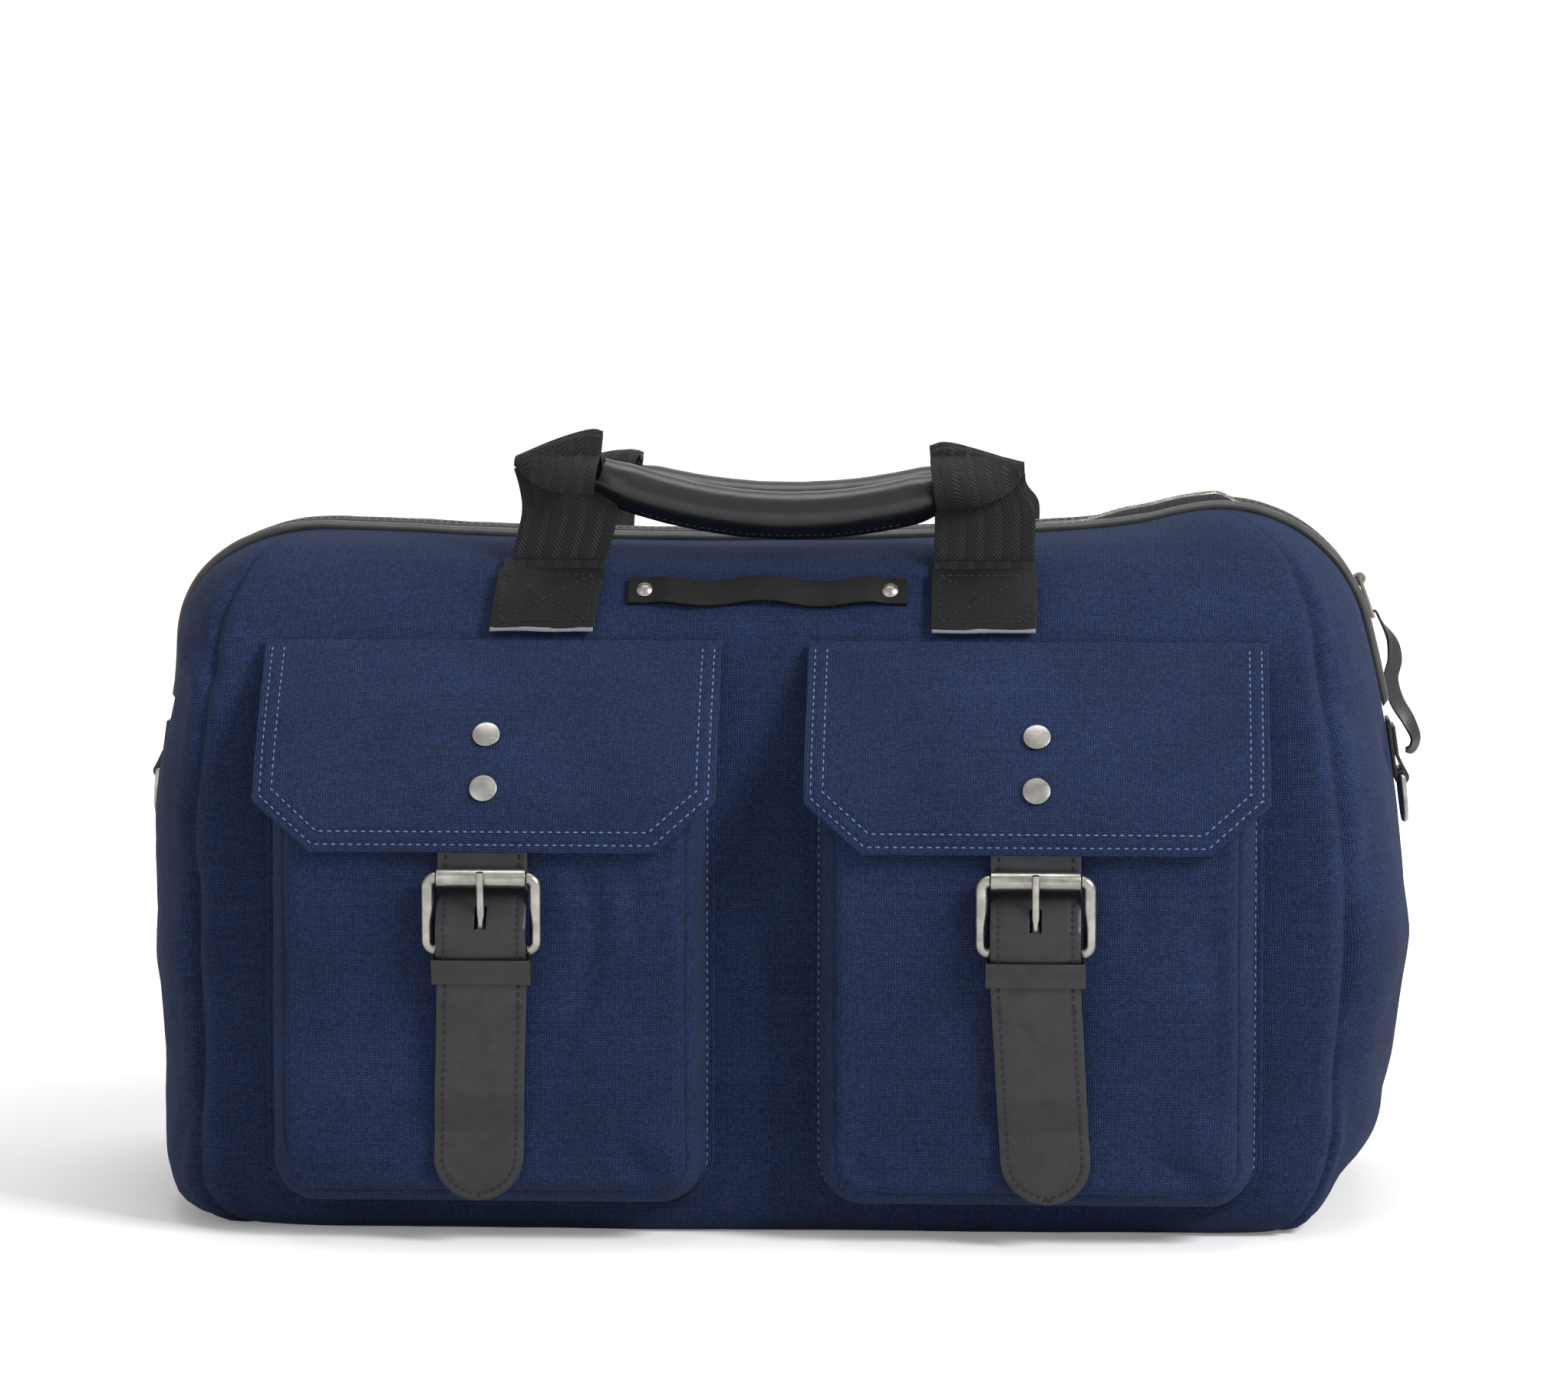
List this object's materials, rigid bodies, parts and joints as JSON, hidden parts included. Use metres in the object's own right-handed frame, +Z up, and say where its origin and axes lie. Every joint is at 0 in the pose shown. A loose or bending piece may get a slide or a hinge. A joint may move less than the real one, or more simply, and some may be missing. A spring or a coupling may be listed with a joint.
{
  "type": "weekender bag",
  "caption": "Soft canvas travel bag with a zip over the top, flapped front pockets with buckled straps, webbing handles with leather grips, and end rings.",
  "frame": {"origin": "middle of the flat base that the bag stands on", "axes": "+X to the bag's right along its length, +Y to its back, +Z up"},
  "size_m": [0.5197, 0.2825, 0.3137],
  "materials": {
    "canvas": "heavy plain-woven navy cotton canvas",
    "lining": "plain cotton lining",
    "webbing": "black herringbone cotton webbing",
    "board": "stiff board",
    "strap_leather": "smooth black leather with a soft sheen",
    "grip_leather": "smooth black leather, polished by use",
    "trim_leather": "worn dark grey leather binding",
    "nickel": "nickel, softly brushed",
    "zip_metal": "bright metal zip"
  },
  "bodies": {
    "root": {"front_panel": "canvas", "back_panel": "canvas", "end_panel_left": "canvas", "end_panel_right": "canvas", "base_panel": "canvas", "base_board": "board", "lining": "lining", "zip_tape_front": "webbing", "zip_tape_back": "webbing", "zip_teeth_front": "zip_metal", "zip_teeth_back": "zip_metal", "zip_stops": "zip_metal", "zip_trim_front": "trim_leather", "zip_trim_back": "trim_leather", "pocket_left": "canvas", "pocket_right": "canvas", "pocket_gusset_left": "canvas", "pocket_gusset_right": "canvas", "press_stud_left": "nickel", "press_stud_right": "nickel", "handle_base_front": "webbing", "handle_base_back": "webbing", "handle_patch_front": "grip_leather", "handle_patch_back": "grip_leather", "name_band": "grip_leather", "band_rivets": "nickel", "ring_tab_left": "strap_leather", "ring_tab_right": "strap_leather"},
    "flap_left": {"flap_left": "canvas", "flap_rivets_left": "nickel", "strap_left": "strap_leather", "buckle_frame_left": "nickel", "buckle_tab_left": "strap_leather", "keeper_left": "strap_leather", "stud_socket_left": "nickel"},
    "flap_right": {"flap_right": "canvas", "flap_rivets_right": "nickel", "strap_right": "strap_leather", "buckle_frame_right": "nickel", "buckle_tab_right": "strap_leather", "keeper_right": "strap_leather", "stud_socket_right": "nickel"},
    "roller_left": {"buckle_roller_left": "nickel"},
    "roller_right": {"buckle_roller_right": "nickel"},
    "prong_left": {"buckle_prong_left": "nickel"},
    "prong_right": {"buckle_prong_right": "nickel"},
    "handle_front": {"handle_webbing_front": "webbing", "handle_grip_front": "grip_leather"},
    "handle_back": {"handle_webbing_back": "webbing", "handle_grip_back": "grip_leather"},
    "slider": {"zip_slider": "zip_metal"},
    "pull": {"zip_pull": "zip_metal", "zip_pull_strap": "trim_leather"},
    "ring_left": {"d_ring_left": "nickel"},
    "ring_right": {"d_ring_right": "nickel"}
  },
  "joints": [
    {"name": "flap_left_hinge", "type": "hinge", "parent": "root", "child": "flap_left", "pos_m": [-0.1075, -0.10128, 0.2347], "axis": [-1, 0, 0], "range_deg": [0, 130]},
    {"name": "roller_left_spin", "type": "hinge", "parent": "flap_left", "child": "roller_left", "pos_m": [-0.1075, -0.1552, 0.1453], "axis": [1, 0, 0], "continuous": true},
    {"name": "prong_left_swing", "type": "hinge", "parent": "flap_left", "child": "prong_left", "pos_m": [-0.1075, -0.15425, 0.1175], "axis": [1, 0, 0], "range_deg": [0, 4]},
    {"name": "flap_right_hinge", "type": "hinge", "parent": "root", "child": "flap_right", "pos_m": [0.1075, -0.10128, 0.2347], "axis": [-1, 0, 0], "range_deg": [0, 130]},
    {"name": "roller_right_spin", "type": "hinge", "parent": "flap_right", "child": "roller_right", "pos_m": [0.1075, -0.1552, 0.1453], "axis": [1, 0, 0], "continuous": true},
    {"name": "prong_right_swing", "type": "hinge", "parent": "flap_right", "child": "prong_right", "pos_m": [0.1075, -0.15425, 0.1175], "axis": [1, 0, 0], "range_deg": [0, 4]},
    {"name": "handle_front_fold", "type": "hinge", "parent": "root", "child": "handle_front", "pos_m": [0, -0.0771, 0.26371], "axis": [-1, 0, 0], "range_deg": [-85, 36]},
    {"name": "handle_back_fold", "type": "hinge", "parent": "root", "child": "handle_back", "pos_m": [0, 0.0771, 0.26371], "axis": [1, 0, 0], "range_deg": [-43, 78]},
    {"name": "slider_run", "type": "hinge", "parent": "root", "child": "slider", "pos_m": [0.18026, 0, 0.222], "axis": [0, -1, 0], "range_deg": [0, 56]},
    {"name": "pull_swing", "type": "hinge", "parent": "slider", "child": "pull", "pos_m": [0.23756, 0, 0.25247], "axis": [0, -1, 0], "range_deg": [0, 150]},
    {"name": "ring_left_swing", "type": "hinge", "parent": "root", "child": "ring_left", "pos_m": [-0.25496, 0, 0.172], "axis": [0, 1, 0], "range_deg": [0, 84]},
    {"name": "ring_right_swing", "type": "hinge", "parent": "root", "child": "ring_right", "pos_m": [0.25496, 0, 0.172], "axis": [0, -1, 0], "range_deg": [0, 84]}
  ]
}
